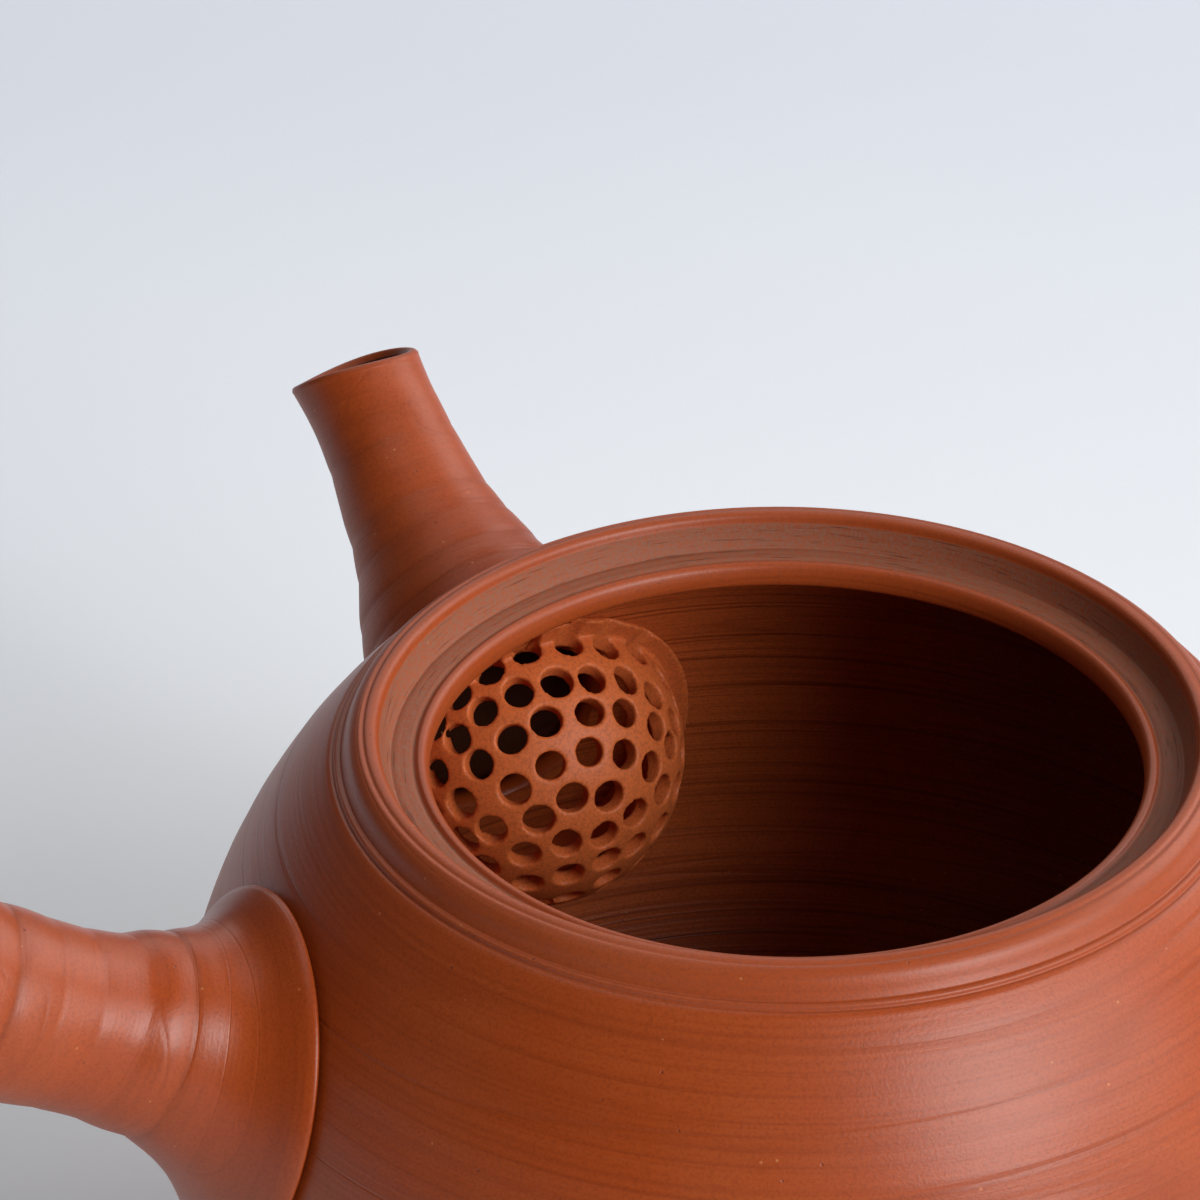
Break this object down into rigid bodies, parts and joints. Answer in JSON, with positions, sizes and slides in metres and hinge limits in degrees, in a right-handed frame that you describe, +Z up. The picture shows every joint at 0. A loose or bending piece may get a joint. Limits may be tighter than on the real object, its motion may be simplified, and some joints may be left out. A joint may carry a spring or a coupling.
{
  "type": "side-handled clay teapot",
  "caption": "Round side-handled pouring pot with a hollow handle, a spout, a drilled dome strainer inside and a separate knobbed lid.",
  "frame": {"origin": "centre of the flat foot, on the table", "axes": "+Z up the axis of the round body, +Y toward the spout; the handle points 79 degrees to its left, toward -X"},
  "size_m": [0.2285, 0.1379, 0.0871],
  "materials": {
    "body": "unglazed red clay, turned and lightly burnished",
    "spout": "unglazed red clay",
    "strainer": "unglazed red clay, drilled",
    "handle": "unglazed red clay with throwing ridges",
    "lid": "unglazed red clay",
    "lid_knob": "unglazed red clay"
  },
  "bodies": {
    "pot": {"body": "body", "spout": "spout", "strainer": "strainer", "handle": "handle"},
    "lid": {"lid": "lid", "lid_knob": "lid_knob"}
  },
  "joints": [
    {"name": "lid_lift", "type": "slide", "parent": "pot", "child": "lid", "axis": [0, 0, 1], "range_m": [0, 0.12]}
  ]
}
